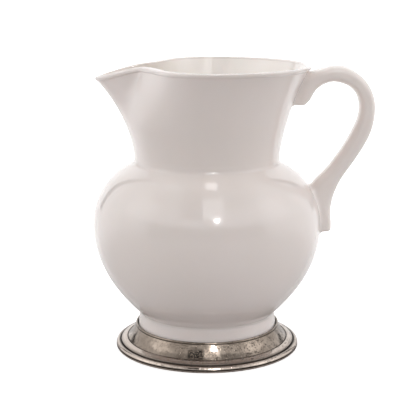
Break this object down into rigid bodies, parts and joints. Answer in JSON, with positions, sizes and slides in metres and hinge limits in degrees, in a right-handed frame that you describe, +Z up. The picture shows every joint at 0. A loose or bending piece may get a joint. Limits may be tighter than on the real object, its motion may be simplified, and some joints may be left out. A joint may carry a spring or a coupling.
{
  "type": "water jug",
  "caption": "Round-bellied white glazed jug with a flared neck, pinched pouring beak, looped strap handle and a turned pewter foot ring.",
  "frame": {"origin": "on the table, on the axis of the jug's round belly and foot ring", "axes": "+Z up, -X towards the pouring beak, +X towards the handle; the XZ plane is the plane of symmetry"},
  "size_m": [0.2087, 0.1698, 0.2125],
  "materials": {
    "white_glaze": "glossy warm white glaze",
    "handle_glaze": "glossy warm white glaze",
    "slip": "fired clay slip under the same glaze",
    "pewter": "dull grey, finely pitted, turned and lightly scratched",
    "adhesive": "dark, matt"
  },
  "bodies": {
    "root": {"jug_body": "white_glaze", "handle": "handle_glaze", "upper_handle_slip": "slip", "lower_handle_slip": "slip", "pewter_foot": "pewter", "foot_adhesive": "adhesive"}
  },
  "joints": []
}
